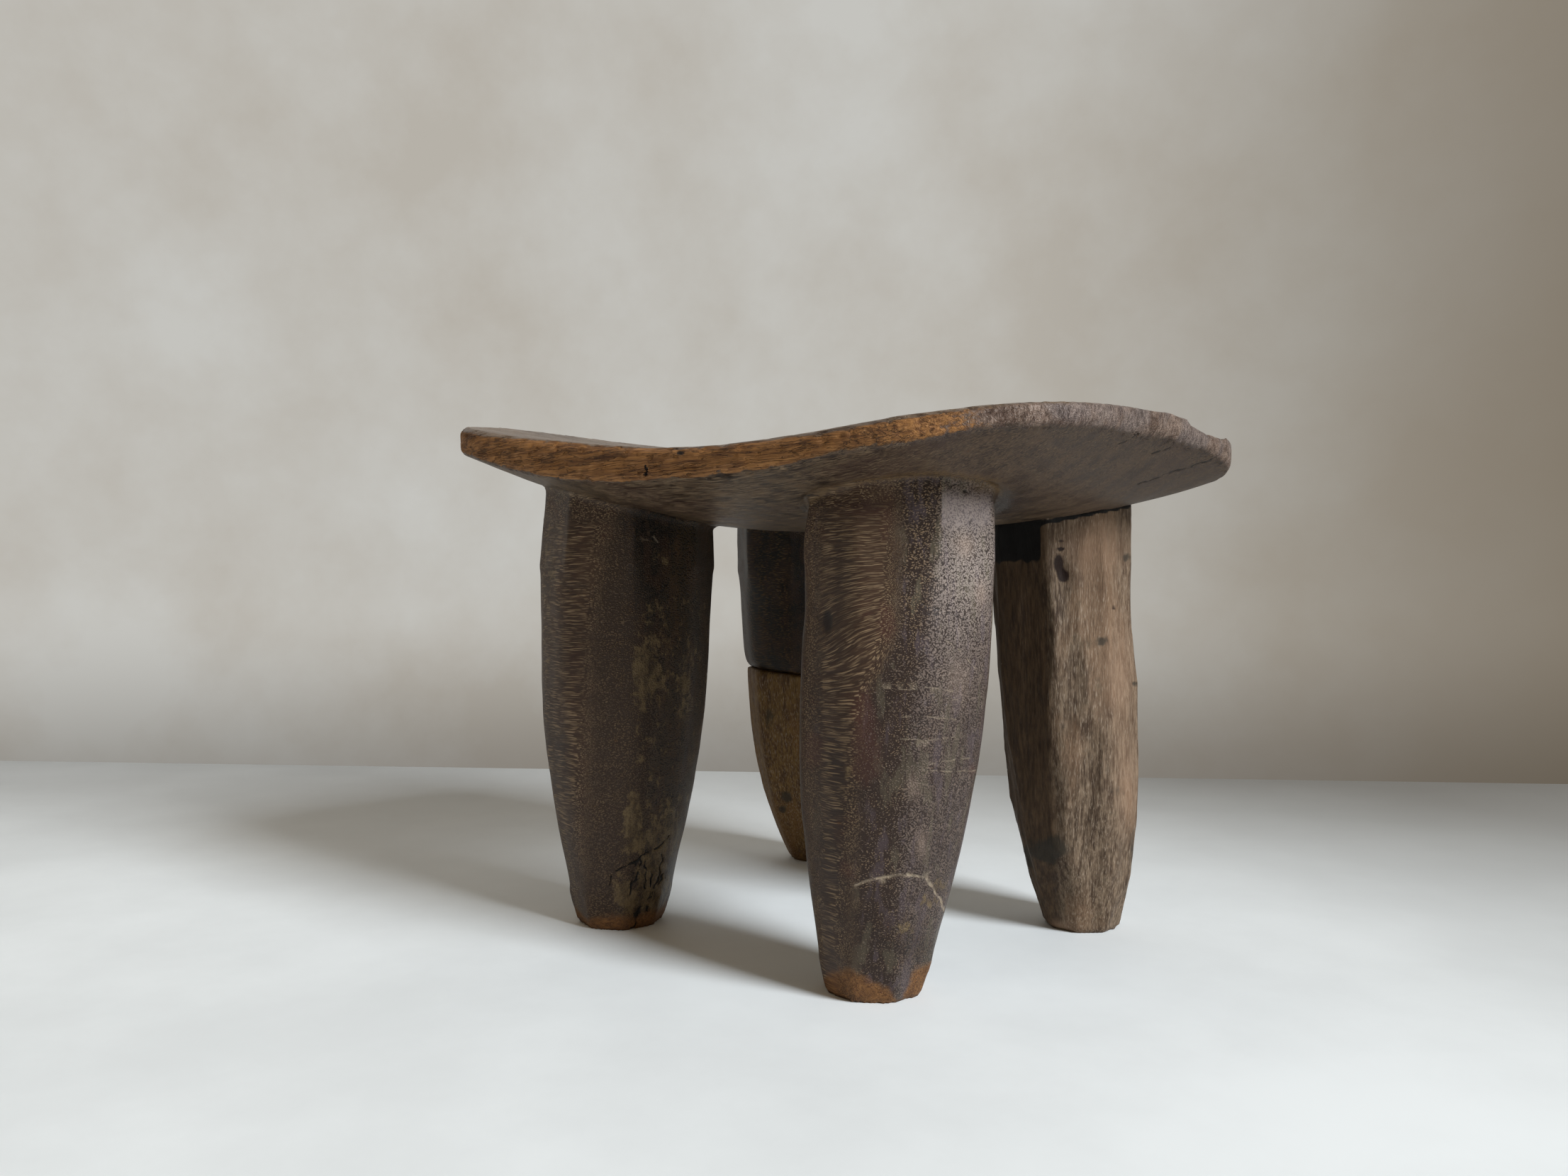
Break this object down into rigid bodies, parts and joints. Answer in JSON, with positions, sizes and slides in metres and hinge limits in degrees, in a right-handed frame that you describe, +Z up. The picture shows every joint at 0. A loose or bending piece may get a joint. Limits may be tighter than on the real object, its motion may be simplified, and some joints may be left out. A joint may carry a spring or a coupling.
{
  "type": "stool",
  "caption": "Low carved wooden stool with a saddle seat and tapering hewn legs; one leg is replaced and another has a spliced-on lower end.",
  "frame": {"origin": "on the floor, under the middle of the seat's bounding box", "axes": "+X along the seat's long side and the grain, towards the end with the replaced leg; +Z up; the front long side with both original whole legs faces -Y"},
  "size_m": [0.484, 0.344, 0.3397],
  "materials": {
    "old_dark_wood": "dark hand-polished wood, worn to raw brown along the rim",
    "pinkish_wood": "dry weathered adzed wood",
    "tan_wood": "dry weathered adzed wood",
    "wedge_wood": "raw split wood, hidden"
  },
  "bodies": {
    "root": {"carved_body": "old_dark_wood", "replacement_leg": "pinkish_wood", "leg_end": "tan_wood", "replacement_leg_wedge": "wedge_wood", "leg_end_wedge": "wedge_wood"}
  },
  "joints": []
}
